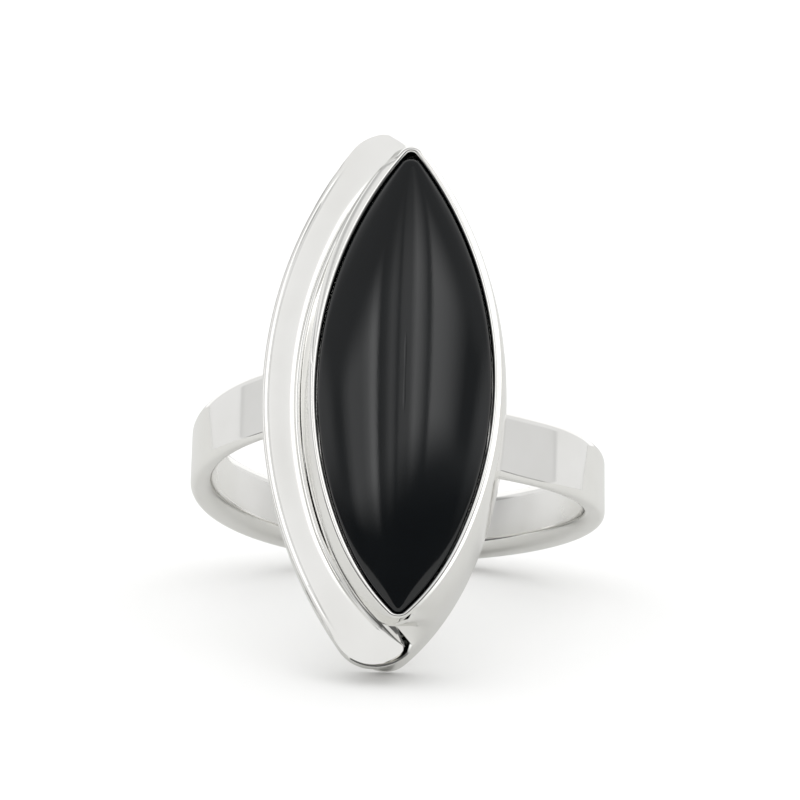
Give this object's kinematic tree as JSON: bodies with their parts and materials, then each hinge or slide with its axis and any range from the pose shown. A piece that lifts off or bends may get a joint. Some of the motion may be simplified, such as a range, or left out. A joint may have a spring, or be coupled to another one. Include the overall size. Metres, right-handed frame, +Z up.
{
  "type": "agate ring",
  "caption": "Polished silver ring with a long pointed-oval black agate, a flat ribbon of silver down one side of the stone and a band whose ends cross under the head.",
  "frame": {"origin": "centre of the finger hole", "axes": "+Z up from the floor that the ring lies on, +X to the right when looking at the stone, +Y from the stone towards the back of the band"},
  "size_m": [0.0204, 0.0279, 0.0236],
  "materials": {
    "polished_silver": "polished",
    "black_agate": "polished"
  },
  "bodies": {
    "root": {"silver_ring": "polished_silver", "agate_stone": "black_agate"}
  },
  "joints": []
}
